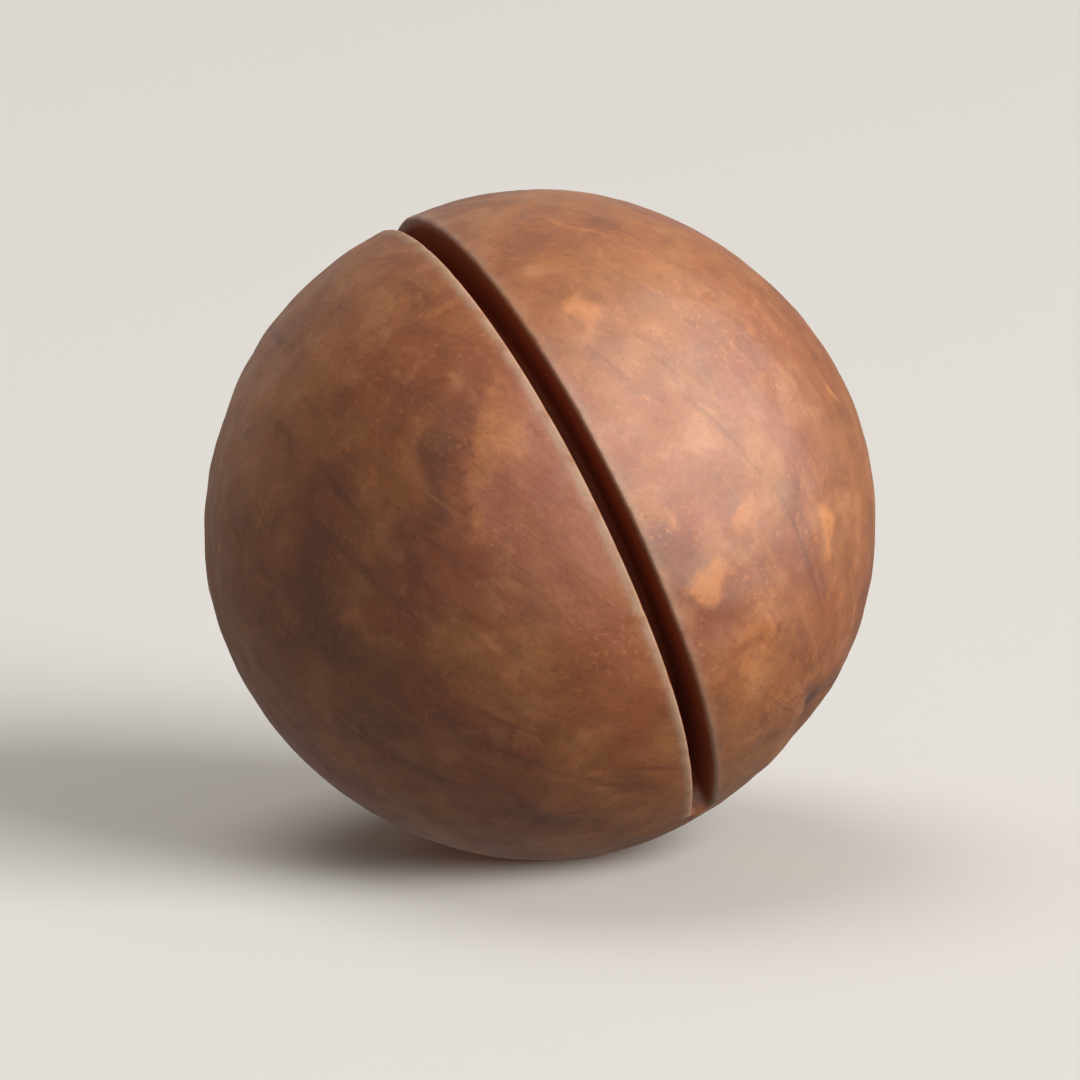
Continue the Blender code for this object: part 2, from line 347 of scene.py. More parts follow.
# Limits between which a value rises, and what it rises from and to where that isn't 0 and 1
MOTTLE_LIMITS = (0.30, 0.72)
SPECKLE_LIMITS = (0.54, 0.68)
DRIFT_LIMITS = (0.40, 0.70)
DRIFT_SHARES = (0.08, 0.40)
MICROPYLE_LIMITS = (0.25, 0.75)
EDGE_WEAR_LIMITS = (0.25, 0.6)
EDGE_WEAR_SHARES = (0.35, 1.0)
DEPTH_LIMITS = (0.06, 0.5)
INSIDE_LIMITS = (0.2, 0.8)

# Finish of the shell
GLOSS_LIMITS = (0.3, 0.7)
SHELL_ROUGHNESS = (0.42, 0.54)
CUT_ROUGHNESS = 0.9
SHELL_SPECULAR = 0.8
COAT_WEIGHT = 0.45
COAT_IOR = 1.75
COAT_ROUGHNESS = 0.40
BUMP_STRENGTH = 0.5
BUMP_HEIGHT = 0.03 * MM
FIBRE_SHARE = 0.8

# Floor
FLOOR_HALF_SIZE = 2.0
FLOOR_COLOUR = (0.71, 0.705, 0.695, 1.0)
FLOOR_ROUGHNESS = 0.9

# View
VIEW_ELEVATION = math.radians(12.0)
CAMERA_DISTANCE = 0.50
SENSOR = 36.0
NUT_SHARE_OF_VIEW = 0.62
AIM_DROP = 0.6 * MM
NEAREST, FURTHEST = 0.01, 10.0

# Lights: direction, distance, width and height, watts and colour
KEY_LIGHT = ((0.77, -0.42, 0.50), 1.2, (0.9, 0.9), 19.0, (1.0, 0.98, 0.93))
GLOSS_LIGHT = ((0.74, -0.44, 0.54), 1.3, (3.2, 2.4), 61.0, (0.98, 1.0, 0.96))
TOP_LIGHT = ((-0.25, 0.25, 1.0), 1.3, (0.8, 0.8), 5.6, (1.0, 0.96, 0.90))
BACK_LIGHT = ((-0.30, 0.9, 0.55), 1.4, (1.8, 1.8), 2.2, (1.0, 0.97, 0.93))
SKY_COLOUR = (1.0, 0.92, 0.84, 1.0)
SKY_STRENGTH = 0.21


def hill(distance, width):
    """1 at no distance, and a smooth fall to nearly 0 at two widths."""
    return np.exp(-((distance / width) ** 2))


def ramp(value, limits):
    """A smooth rise from 0 at the first limit to 1 at the second."""
    low, high = limits
    share = np.clip((value - low) / (high - low), 0.0, 1.0)
    return share * share * (3.0 - 2.0 * share)


def draw_lumps():
    """The same seeded waves as in the solid."""
    draw = random.Random(LUMP_SEED)
    waves = []
    for _ in range(LUMP_COUNT):
        heading = Vector([draw.gauss(0.0, 1.0) for _ in range(3)]).normalized()
        length = draw.uniform(*LUMP_LENGTHS)
        phase = draw.uniform(0.0, math.tau)
        waves.append((np.array(heading) * (math.tau * SHELL_RADIUS / length), phase))
    return waves


LUMPS = draw_lumps()


def polar(direction):
    """Angle from the micropyle, and the turn round the nut's own axis from the suture."""
    colatitude = np.arccos(np.clip(direction @ np.array(MICROPYLE), -1.0, 1.0))
    longitude = np.arctan2(direction @ np.array(SUTURE_CROSS), direction @ np.array(SUTURE_SIDE))
    return colatitude, longitude


def lump_relief(direction):
    return LUMP_HEIGHT * sum(np.sin(direction @ wave + phase) for wave, phase in LUMPS)


def oval_reach(reach, longitude):
    """Distance from the micropyle, with the ring's long side taken in."""
    return reach * np.sqrt((np.cos(longitude) / RING_OVAL) ** 2 + np.sin(longitude) ** 2)


def micropyle_relief(reach, longitude):
    oval = oval_reach(reach, longitude)
    point = POINT_HEIGHT * hill(reach, POINT_SPREAD)
    ring_height = RING_HEIGHT * (1.0 + RING_UNEVENNESS * np.cos(longitude - RING_TALLEST))
    ring = ring_height * hill(oval - RING_RADIUS, RING_WIDTH)
    dent = DENT_DEPTH * hill(oval, DENT_WIDTH)
    moat = MOAT_DEPTH * hill(oval - MOAT_RADIUS, MOAT_WIDTH)
    return point + ring - dent - moat


def fan_wave(reach, longitude):
    """Ridges above 0 and valleys below it, as a share of the fan's height."""
    sway = sum(swing * np.sin(waves * longitude + phase) for waves, swing, phase in FAN_SWAY)
    side = (0.5 + 0.5 * np.cos(longitude - FAN_TALLEST)) ** 2
    share = FAN_LEAST + (1.0 - FAN_LEAST) * side
    waves, swing, phase = FAN_END_SWAY
    swayed_reach = reach * (1.0 + swing * np.sin(waves * longitude + phase))
    strength = ramp(reach, FAN_START) * (1.0 - ramp(swayed_reach, FAN_END))
    valley = (0.5 - 0.5 * np.cos(FAN_RIDGES * longitude + sway)) ** FAN_SHARPNESS
    return share * strength * (FAN_CREST_SHARE - valley)


def crease(reach, longitude):
    """How deep each point lies in a crease, as a share of the creases' depth."""
    notch = (0.5 + 0.5 * np.cos(CREASES * longitude + CREASE_TURN + CREASE_TWIST * reach))
    depth = 1.0 + CREASE_UNEVENNESS * np.cos(longitude - CREASE_DEEPEST)
    strength = ramp(reach, CREASE_START) * (1.0 - ramp(reach, CREASE_END))
    return depth * notch**CREASE_SHARPNESS * strength


def hilum_relief(reach, longitude):
    flattening = HILUM_FLATTENING * hill(reach, HILUM_SPREAD)
    dimple = DIMPLE_DEPTH * hill(reach, DIMPLE_WIDTH)
    rim = RIM_HEIGHT * hill(reach - RIM_RADIUS, RIM_WIDTH)
    return rim - flattening - dimple - CREASE_DEPTH * crease(reach, longitude)


def suture_strength(reach):
    return ramp(reach, SUTURE_START) * (1.0 - ramp(reach, SUTURE_END))


def suture_relief(reach, across):
    groove = SUTURE_DEPTH * hill(across, SUTURE_WIDTH)
    ridges = SUTURE_RIDGE_HEIGHT * hill(np.abs(across) - SUTURE_RIDGE_OFFSET, SUTURE_RIDGE_WIDTH)
    return suture_strength(reach) * (ridges - groove)


def form_radius(direction):
    """Distance from the nut's centre to its surface, as in the solid."""
    along = direction @ np.array(MICROPYLE)
    colatitude, longitude = polar(direction)
    reach = SHELL_RADIUS * colatitude
    hilum_reach = SHELL_RADIUS * (math.pi - colatitude)
    across = SHELL_RADIUS * np.sin(colatitude) * longitude
    return (
        SHELL_RADIUS
        - POLAR_FLATTENING * along * along
        + lump_relief(direction)
        + micropyle_relief(reach, longitude)
        + FAN_HEIGHT * fan_wave(reach, longitude)
        + hilum_relief(hilum_reach, longitude)
        + suture_relief(reach, across)
    )


def wave_field(direction, seed, lengths):
    """A smooth seeded field over the nut, with a spread of about 1."""
    draw = random.Random(seed)
    total = np.zeros(direction.shape[:-1])
    for _ in range(FIELD_WAVES):
        heading = Vector([draw.gauss(0.0, 1.0) for _ in range(3)]).normalized()
        wave = np.array(heading) * (math.tau * SHELL_RADIUS / draw.uniform(*lengths))
        total += np.sin(direction @ wave + draw.uniform(0.0, math.tau))
    return total * math.sqrt(2.0 / FIELD_WAVES)


def warped(direction):
    """The directions moved a little by three seeded fields."""
    fields = [wave_field(direction, seed, WARP_LENGTHS) for seed in WARP_SEEDS]
    moved = direction + np.stack(fields, axis=-1) * (WARP / SHELL_RADIUS)
    return moved / np.linalg.norm(moved, axis=-1, keepdims=True)


def lengthwise(direction):
    """Directions pressed together along the nut's axis, which draws a pattern out along it."""
    along = direction @ np.array(MICROPYLE)
    return direction - along[..., None] * np.array(MICROPYLE) * (1.0 - SWIRL_STRETCH)


def seen_direction(right, above):
    """Direction from the nut's centre to a spot that the camera sees, given in nut radii."""
    toward = math.sqrt(max(0.0, 1.0 - right * right - above * above))
    sine, cosine = math.sin(VIEW_ELEVATION), math.cos(VIEW_ELEVATION)
    return Vector((right, above * sine - toward * cosine, above * cosine + toward * sine))


def camera_up():
    return Vector((0.0, math.sin(VIEW_ELEVATION), math.cos(VIEW_ELEVATION)))


def spot(centre, along, half_length, half_width, bend, strength):
    """One spot: its middle, the two directions on the shell that it is measured in, and sizes."""
    along = (along - centre * along.dot(centre)).normalized()
    return centre, along, centre.cross(along), half_length, half_width, bend, strength


def shown_spots(rows):
    """Spots that are given by where the camera sees them."""
    spots = []
    for right, above, half_length, half_width, turn, strength in rows:
        centre = seen_direction(right, above)
        angle = math.radians(turn)
        along = Vector((1.0, 0.0, 0.0)) * math.cos(angle) + camera_up() * math.sin(angle)
        sizes = (half_length * MM, half_width * MM)
        spots.append(spot(centre, along, *sizes, SHOWN_SPOT_BEND, strength))
    return spots


def scattered(draw, count, lengths, widths, strengths):
    """Spots all over the shell, most of them drawn out towards the nut's ends."""
    spots = []
    for _ in range(count):
        centre = Vector([draw.gauss(0.0, 1.0) for _ in range(3)]).normalized()
        toward_end = (MICROPYLE - centre * centre.dot(MICROPYLE)).normalized()
        turn = draw.gauss(0.0, SPOT_TURN)
        along = toward_end * math.cos(turn) + centre.cross(toward_end) * math.sin(turn)
        sizes = (draw.uniform(*lengths), draw.uniform(*widths))
        bend = draw.gauss(0.0, SPOT_BEND)
        spots.append(spot(centre, along, *sizes, bend, draw.uniform(*strengths)))
    return spots


def hilum_flecks(draw):
    """Flecks in loose rings round the hilum, pointing away from it."""
    spots = []
    for _ in range(HILUM_FLECKS):
        turn = draw.uniform(0.0, math.tau)
        away = SUTURE_SIDE * math.cos(turn) + SUTURE_CROSS * math.sin(turn)
        angle = draw.uniform(*HILUM_FLECK_REACH) / SHELL_RADIUS
        centre = away * math.sin(angle) - MICROPYLE * math.cos(angle)
        sizes = (draw.uniform(*HILUM_FLECK_LENGTHS), draw.uniform(*HILUM_FLECK_WIDTHS))
        bend = draw.gauss(0.0, HILUM_FLECK_BEND)
        spots.append(spot(centre, away, *sizes, bend, draw.uniform(*HILUM_FLECK_STRENGTHS)))
    return spots


def golden_flecks_and_glints():
    draw = random.Random(FLECK_SEED)
    spread = scattered(draw, FLECK_COUNT, FLECK_LENGTHS, FLECK_WIDTHS, FLECK_STRENGTHS)
    return shown_spots(SHOWN_FLECKS_AND_GLINTS) + spread + hilum_flecks(draw)


def dark_marks_and_painted_shade():
    draw = random.Random(SHADE_SEED)
    spread = scattered(draw, SHADE_COUNT, SHADE_LENGTHS, SHADE_WIDTHS, SHADE_STRENGTHS)
    return shown_spots(SHOWN_MARKS_AND_PAINTED_SHADE) + spread


def spot_field(direction, spots):
    """How strongly each point lies in a spot, from 0 to about 1."""
    field = np.zeros(direction.shape[:-1])
    for centre, along, across, half_length, half_width, bend, strength in spots:
        facing = direction @ np.array(centre)
        length = direction @ np.array(along) * SHELL_RADIUS / half_length
        width = direction @ np.array(across) * SHELL_RADIUS / half_width
        width = width - bend * length * length
        depth = np.exp(-((length**2 + width**2) ** SPOT_SHARPNESS))
        field = np.maximum(field, strength * depth * (facing > SPOT_SIDE))
    return field


def swirl_field(direction, bent):
    """Broken lines in patches, along the nut."""
    patches = ramp(wave_field(direction, PATCH_SEED, PATCH_LENGTHS), PATCH_LIMITS)
    breaks = ramp(wave_field(bent, BREAK_SEED, BREAK_LENGTHS), BREAK_LIMITS)
    lines = hill(wave_field(lengthwise(bent), SWIRL_SEED, SWIRL_LENGTHS), SWIRL_WIDTH)
    return lines * breaks * patches


def wrinkle_field(bent):
    waves = wave_field(lengthwise(bent), WRINKLE_SEED, WRINKLE_LENGTHS)
    return hill(waves, WRINKLE_WIDTH)


def polish(direction):
    """How polished the shell is: fully on the far side of the slit, and less on the near side."""
    side = direction @ np.array(CUT_NORMAL) * SHELL_RADIUS - CUT_OFFSET
    near = NEAR_POLISH + (LEFT_POLISH - NEAR_POLISH) * ramp(-side, LEFT_POLISH_RISE)
    return near + (1.0 - near) * ramp(side, POLISH_RISE)


def end_masks(colatitude, longitude):
    """Masks of the suture, the micropyle with its folds, and the hilum."""
    reach = SHELL_RADIUS * colatitude
    hilum_reach = SHELL_RADIUS * (math.pi - colatitude)
    across = SHELL_RADIUS * np.sin(colatitude) * longitude
    oval = oval_reach(reach, longitude)
    return {
        "suture": hill(across, SUTURE_DARKENING_WIDTH) * suture_strength(reach),
        "micropyle": 1.0 - ramp(oval, MICROPYLE_RIM),
        "moat": hill(oval - MOAT_STAIN_RADIUS, MOAT_STAIN_WIDTH),
        "dent": hill(oval, DENT_DARKENING_WIDTH),
        "hilum": np.maximum(hill(hilum_reach, DIMPLE_WIDTH), crease(hilum_reach, longitude)),
        "fan": fan_wave(reach, longitude),
    }


def fine_relief(direction):
    """Flecks, swirls, wrinkles and dimpling, with the masks that the material needs."""
    colatitude, longitude = polar(direction)
    near_micropyle = hill(SHELL_RADIUS * colatitude, CALM_MICROPYLE)
    near_hilum = hill(SHELL_RADIUS * (math.pi - colatitude), CALM_HILUM)
    calm = (1.0 - near_micropyle) * (1.0 - near_hilum)
    bent = warped(direction)
    # Golden flecks, a few of them painted glints and one a painted highlight, all slightly raised
    flecks = spot_field(bent, golden_flecks_and_glints()) * calm
    swirls = swirl_field(direction, bent) * calm
    height = (
        FLECK_HEIGHT * flecks
        + SWIRL_HEIGHT * swirls
        + WRINKLE_HEIGHT * wrinkle_field(bent) * calm
        + DIMPLING_HEIGHT * wave_field(direction, DIMPLING_SEED, DIMPLING_LENGTHS)
    )
    masks = end_masks(colatitude, longitude)
    masks["fleck_and_glint"] = flecks
    masks["swirl"] = swirls
    # Dark marks, with painted shade on the far left, the lower left, the bottom and along the slit
    masks["shade"] = spot_field(bent, dark_marks_and_painted_shade()) * calm
    # Ruddy bands beside the slit, which also paint shade there
    masks["ruddy"] = spot_field(bent, shown_spots(SHOWN_RUDDY_PAINTED_SHADE))
    masks["polish"] = polish(direction)
    return height, masks


def with_relief(direction):
    """Points of the shell with all relief, and their masks."""
    height, masks = fine_relief(direction)
    radius = form_radius(direction) + height
    return direction * radius[..., None], masks


def ring_noise(angle, seed):
    """A seeded wobble round the cut, with a spread of about 1."""
    draw = random.Random(seed)
    total = np.zeros_like(angle)
    for _ in range(CHIP_COUNT):
        waves = draw.randint(*CHIP_WAVES)
        total += np.sin(waves * angle + draw.uniform(0.0, math.tau))
    return total * math.sqrt(2.0 / CHIP_COUNT)


def outward_directions(angle):
    """Unit directions in the cut plane, at angles from its highest one."""
    up = Vector((0.0, 0.0, 1.0))
    highest = (up - CUT_NORMAL * up.dot(CUT_NORMAL)).normalized()
    forward = CUT_NORMAL.cross(highest)
    return np.cos(angle)[:, None] * np.array(highest) + np.sin(angle)[:, None] * np.array(forward)


def surface_directions(angle, lateral):
    """Unit directions at angles in the cut plane and angles out of it."""
    outward = outward_directions(angle)
    normal = np.array(CUT_NORMAL)
    return np.cos(lateral)[..., None] * outward[:, None, :] + np.sin(lateral)[..., None] * normal


def on_form(angle, lateral):
    """Points of the plain form, one for each pair of angles."""
    direction = surface_directions(angle, lateral[:, None])[:, 0, :]
    return direction * form_radius(direction)[:, None]


def cut_section(angle):
    """Width, depth and edge width of the cut at each angle, as in the solid."""
    rise = np.clip((angle - (CUT_END - CUT_RISE)) / CUT_RISE, 0.0, 1.0)
    blunt_end = np.sqrt(1.0 - rise * rise)
    full = ramp(angle, (CUT_START, CUT_START + CUT_FADE))
    score = ramp(angle, (CUT_START - SCORE_LENGTH, CUT_START))
    depth = (SCORE_DEPTH * score + (CUT_DEPTH - SCORE_DEPTH) * full) * blunt_end
    width = SCORE_WIDTH + (CUT_WIDTH - SCORE_WIDTH) * np.sqrt(full)
    closing = ramp(angle, (CUT_END, CUT_START - SCORE_LENGTH + math.tau))
    width = width + (SCORE_WIDTH - width) * closing
    edge = np.minimum(CUT_EDGE, CUT_EDGE_SHARE * depth) + CUT_EDGE_LEAST
    return width, depth, edge


def chip_width(angle, side, opened):
    """How far small chips widen the slit's rounded edge."""
    chips = np.clip(ring_noise(angle, CHIP_SEED + side) - CHIP_START, 0.0, CHIP_MOST)
    return CHIP_DEPTH * chips * opened


def cut_share(part, share, side):
    """How much a row of the section looks cut, with the slit's painted shade: the near rounded edge
    does in its lower half.
    """
    if part != "edge":
        return 1.0
    return float(ramp(share, NEAR_EDGE_CUT)) if side < 0 else 0.0


def section_rows():
    """Rows of half the section from the lip to the middle of the floor: part, and share of it."""
    rows = [("edge", step / EDGE_ROWS) for step in range(EDGE_ROWS + 1)]
    rows += [("wall", step / WALL_ROWS) for step in range(1, WALL_ROWS + 1)]
    rows += [("floor", step / FLOOR_ROWS) for step in range(1, FLOOR_ROWS)]
    return rows


def section_point(part, share, angle, section):
    """Distance out of the cut plane and depth under the lip, for one row of the section."""
    width, depth, edge = section
    half = 0.5 * width
    if part == "edge":
        turn = 0.5 * math.pi * share
        return half + edge * (1.0 - math.sin(turn)), edge * (1.0 - math.cos(turn))
    if part == "wall":
        marks = SAW_MARK_HEIGHT * np.sin(SAW_MARKS * angle + SAW_MARK_SLANT * share)
        across = half * (1.0 - (1.0 - CUT_FLOOR_NARROWING) * share) + marks
        return across, edge + (depth - edge) * share
    across = CUT_FLOOR_NARROWING * half * (1.0 - share)
    return across, depth + CUT_FLOOR_BULGE * half * np.sin(0.5 * math.pi * share)


def cut_side(angle, side):
    """Points of one half of the slit, its lip first, and their masks."""
    outward = outward_directions(angle)
    normal = np.array(CUT_NORMAL)
    width, depth, edge = cut_section(angle)
    opened = np.clip(depth / CUT_OPENS_AT, 0.0, 1.0)
    edge = edge + chip_width(angle, side, opened)
    middle = form_radius(outward)
    lip_side = CUT_OFFSET + side * (0.5 * width + edge)
    closed_side = CUT_OFFSET + side * CLOSED_ROW_SPREAD * width
    lip_lateral = np.arcsin(lip_side / middle)
    lip_height = np.einsum("ij,ij->i", on_form(angle, lip_lateral), outward)
    looks_cut = np.minimum(CUT_LOOK_GAIN * opened, 1.0)
    rows = section_rows()
    points, inside, depths = [], [], []
    for index, (part, share) in enumerate(rows):
        spread = index / (len(rows) - 1)
        flat_side = lip_side + (closed_side - lip_side) * spread
        resting = on_form(angle, np.arcsin(flat_side / middle))
        across, down = section_point(part, share, angle, (width, depth, edge))
        level = outward * (lip_height - down)[:, None]
        cut = level + normal * (CUT_OFFSET + side * across)[:, None]
        points.append(resting + (cut - resting) * opened[:, None])
        inside.append(looks_cut * cut_share(part, share, side))
        depths.append(opened * down / CUT_DEPTH)
    return lip_lateral, np.stack(points, 1), np.stack(inside, 1), np.stack(depths, 1)


def side_fractions():
    """Steps from the lip of the cut to the pole, closer at the lip."""
    steps = np.arange(1, SIDE_ROWS) / SIDE_ROWS
    return steps * (1.0 - ROW_CROWDING) + ROW_CROWDING * steps**2


def shell_side(angle, lip_lateral, side):
    """Rows of one half of the shell, from the lip towards its pole, as directions."""
    fractions = side_fractions()[None, :]
    lateral = lip_lateral[:, None] + (side * 0.5 * math.pi - lip_lateral[:, None]) * fractions
    return surface_directions(angle, lateral)


def bevel_mask(angle, row_count, slit):
    """How pale the rounded edges of the slit are: worn, with painted light on the near lip and
    painted shade keeping the far one less pale.
    """
    depth = cut_section(angle)[1]
    strength = np.clip(depth / CUT_OPENS_AT, 0.0, 1.0)
    rows = np.zeros(row_count)
    beside = side_fractions() * 0.5 * math.pi * SHELL_RADIUS
    rows[: slit.start] = hill(beside, LIP_WEAR_REACH)[::-1]
    rows[slit.start : slit.start + EDGE_ROWS + 1] = 1.0
    rows[slit.stop - EDGE_ROWS - 1 : slit.stop] = FAR_LIP_SHADED_WEAR
    rows[slit.stop :] = FAR_LIP_SHADED_WEAR * hill(beside, LIP_WEAR_REACH)
    return strength[:, None] * rows[None, :]


def grid_parts(angle):
    """All rows of the grid in order from the near side's pole to the far one's, and their masks."""
    near_lip, near_cut, near_inside, near_depth = cut_side(angle, -1)
    far_lip, far_cut, far_inside, far_depth = cut_side(angle, 1)
    near_shell, near_masks = with_relief(shell_side(angle, near_lip, -1))
    far_shell, far_masks = with_relief(shell_side(angle, far_lip, 1))
    points = np.concatenate([near_shell[:, ::-1], near_cut, far_cut[:, ::-1], far_shell], axis=1)
    unit = points / np.linalg.norm(points, axis=-1, keepdims=True)
    slit = slice(near_shell.shape[1], near_shell.shape[1] + 2 * near_cut.shape[1])
    height, cut_masks = fine_relief(unit[:, slit])
    inside = np.concatenate([near_inside, far_inside[:, ::-1]], axis=1)
    depth = np.concatenate([near_depth, far_depth[:, ::-1]], axis=1)
    points[:, slit] += unit[:, slit] * (height * (1.0 - inside))[..., None]
    masks = {}
    for name, values in near_masks.items():
        masks[name] = np.concatenate([values[:, ::-1], cut_masks[name], far_masks[name]], axis=1)
    zeros = np.zeros(near_shell.shape[:2])
    masks["inside"] = np.concatenate([zeros, inside, zeros], axis=1)
    masks["depth"] = np.concatenate([zeros, depth, zeros], axis=1)
    masks["bevel"] = bevel_mask(angle, points.shape[1], slit)
    return points, masks


def pole_point(side):
    """The point that closes the grid on one side."""
    return with_relief(np.array(CUT_NORMAL)[None, :] * side)


def grid_faces(columns, rows):
    """Quads of the closed grid, and the triangles that close it at its two poles."""
    index = np.arange(columns * rows).reshape(columns, rows)
    following = np.roll(index, -1, axis=0)
    quads = np.stack(
        [index[:, :-1], following[:, :-1], following[:, 1:], index[:, 1:]], axis=-1
    ).reshape(-1, 4)
    first, last = columns * rows, columns * rows + 1
    start = [(first, int(b), int(a)) for a, b in zip(index[:, 0], following[:, 0])]
    end = [(last, int(a), int(b)) for a, b in zip(index[:, -1], following[:, -1])]
    return [tuple(quad) for quad in quads.tolist()] + start + end


def lay_on_floor(points):
    """Lifts the nut's centre to its height, and wears its lowest part down to the flat spot."""
    points = points + np.array((0.0, 0.0, CENTRE_HEIGHT))
    height = points[:, 2]
    points[:, 2] = 0.5 * (height + np.sqrt(height**2 + FOOT_ROUNDING**2))
    return points


def add_object(name, data):
    thing = bpy.data.objects.new(name, data)
    bpy.context.scene.collection.objects.link(thing)
    return thing


def add_mask(mesh, name, values):
    layer = mesh.attributes.new(name, "FLOAT", "POINT")
    layer.data.foreach_set("value", values.astype(np.float32))


def add_polar_coordinates(mesh, points):
    """Coordinates round the nut's own axis, for patterns that run from end to end."""
    colatitude, longitude = polar(points / np.linalg.norm(points, axis=1, keepdims=True))
    around = np.stack([np.cos(longitude), np.sin(longitude), colatitude], axis=1)
    layer = mesh.attributes.new("polar", "FLOAT_VECTOR", "POINT")
    layer.data.foreach_set("vector", around.astype(np.float32).ravel())


def make_nut():
    angle = CUT_START - SCORE_LENGTH + math.tau * np.arange(COLUMNS) / COLUMNS
    points, masks = grid_parts(angle)
    poles = [pole_point(-1.0), pole_point(1.0)]
    flat = np.concatenate([points.reshape(-1, 3)] + [pole[0] for pole in poles])
    mesh = bpy.data.meshes.new("nut_shell")
    mesh.from_pydata(lay_on_floor(flat).tolist(), [], grid_faces(COLUMNS, points.shape[1]))
    for name, values in masks.items():
        ends = [pole[1].get(name, np.zeros(1)) for pole in poles]
        add_mask(mesh, name, np.concatenate([values.ravel()] + ends))
    add_polar_coordinates(mesh, flat)
    mesh.shade_smooth()
    return add_object("nut_shell", mesh)


class Nodes:
    """Short calls for the nodes of one material."""

    def __init__(self, name):
        self.material = bpy.data.materials.new(name)
        self.material.use_nodes = True
        self.tree = self.material.node_tree
        self.shader = self.tree.nodes["Principled BSDF"]

    def new(self, kind, **settings):
        node = self.tree.nodes.new(kind)
        for name, value in settings.items():
            setattr(node, name, value)
        return node

    def link(self, source, target):
        self.tree.links.new(source, target)

    def put(self, socket, value):
        if isinstance(value, bpy.types.NodeSocket):
            self.link(value, socket)
        else:
            socket.default_value = value

    def set_shader(self, name, value):
        """Sets or links one of the shader's own sockets."""
        self.put(self.shader.inputs[name], value)

    def mask(self, name):
        return self.new("ShaderNodeAttribute", attribute_name=name).outputs["Fac"]

    def place(self):
        """The object's own coordinates."""
        return self.new("ShaderNodeTexCoord").outputs["Object"]

    def around(self, scale):
        """The coordinates round the nut's own axis, stretched."""
        node = self.new("ShaderNodeMapping")
        source = self.new("ShaderNodeAttribute", attribute_name="polar")
        self.link(source.outputs["Vector"], node.inputs["Vector"])
        node.inputs["Scale"].default_value = scale
        return node.outputs["Vector"]

    def noise(self, vector, scale, detail, rough, distortion):
        node = self.new("ShaderNodeTexNoise")
        self.link(vector, node.inputs["Vector"])
        node.inputs["Scale"].default_value = scale
        node.inputs["Detail"].default_value = detail
        node.inputs["Roughness"].default_value = rough
        node.inputs["Distortion"].default_value = distortion
        return node.outputs["Fac"]

    def cells(self, vector, scale):
        node = self.new("ShaderNodeTexVoronoi")
        self.link(vector, node.inputs["Vector"])
        node.inputs["Scale"].default_value = scale
        return node.outputs["Distance"]

    def range(self, value, low, high, out_low=0.0, out_high=1.0):
        node = self.new("ShaderNodeMapRange", interpolation_type="SMOOTHSTEP")
        self.put(node.inputs["Value"], value)
        node.inputs["From Min"].default_value = low
        node.inputs["From Max"].default_value = high
        node.inputs["To Min"].default_value = out_low
        node.inputs["To Max"].default_value = out_high
        return node.outputs["Result"]

    def math(self, operation, first, second):
        node = self.new("ShaderNodeMath", operation=operation)
        self.put(node.inputs[0], first)
        self.put(node.inputs[1], second)
        return node.outputs[0]

    def mix(self, share, first, second):
        node = self.new("ShaderNodeMix", data_type="RGBA")
        self.put(node.inputs[0], share)
        self.put(node.inputs[6], first)
        self.put(node.inputs[7], second)
        return node.outputs[2]

    def overlaid(self, colour, overlay, amount, share):
        """The colour with another colour over it, of the given share where the amount is 1."""
        return self.mix(self.math("MULTIPLY", amount, share), colour, overlay)

    def tinted(self, colour, tint, value, start, full, share):
        """The colour with a tint over it, which grows as a value goes from start to full."""
        return self.overlaid(colour, tint, self.range(value, start, full), share)


def mottled_colour(nodes, place):
    """Brown with soft mottling, darker patches, and dark and pale blotches."""
    mottle = nodes.range(nodes.noise(place, *MOTTLE_NOISE), *MOTTLE_LIMITS)
    colour = nodes.mix(mottle, RED_SHELL, WARM_SHELL)
    colour = nodes.tinted(colour, DARK_SHELL, nodes.noise(place, *PATCH_NOISE), *PATCH_TINT)
    blotches = nodes.noise(place, *BLOTCH_NOISE)
    colour = nodes.tinted(colour, DARK_SHELL, blotches, *DARK_BLOTCH_TINT)
    return nodes.tinted(colour, TAN, blotches, *PALE_BLOTCH_TINT)


def spotted_colour(nodes, place, colour):
    """Adds what is drawn out towards the nut's ends: shades, streaks, flecks and swirls.

    Some of the shades are painted shade, a few flecks carry painted glints and a painted highlight,
    and the ruddy bands beside the slit also paint shade.
    """
    # Dark marks, some of them painted shade
    colour = nodes.tinted(colour, DARK_SHELL, nodes.mask("shade"), *SHADE_TINT)
    streaks = nodes.noise(nodes.around(STREAK_STRETCH), *STREAK_NOISE)
    colour = nodes.tinted(colour, WARM_SHELL, streaks, *PALE_STREAK_TINT)
    colour = nodes.tinted(colour, DARK_SHELL, streaks, *DARK_STREAK_TINT)
    ragged = nodes.math("MULTIPLY", nodes.noise(place, *RAGGED_NOISE), RAGGEDNESS)
    ragged = nodes.math("SUBTRACT", ragged, 0.5 * RAGGEDNESS)
    # Golden flecks, with painted glints and a painted highlight among them
    fleck_and_glint = nodes.math("ADD", nodes.mask("fleck_and_glint"), ragged)
    colour = nodes.tinted(colour, GOLD, fleck_and_glint, *FLECK_TINT)
    swirl = nodes.math("ADD", nodes.mask("swirl"), ragged)
    colour = nodes.tinted(colour, GOLD, swirl, *SWIRL_TINT)
    # Ruddy bands beside the slit, which also paint shade there
    return nodes.tinted(colour, RED_SHELL, nodes.mask("ruddy"), *RUDDY_TINT)


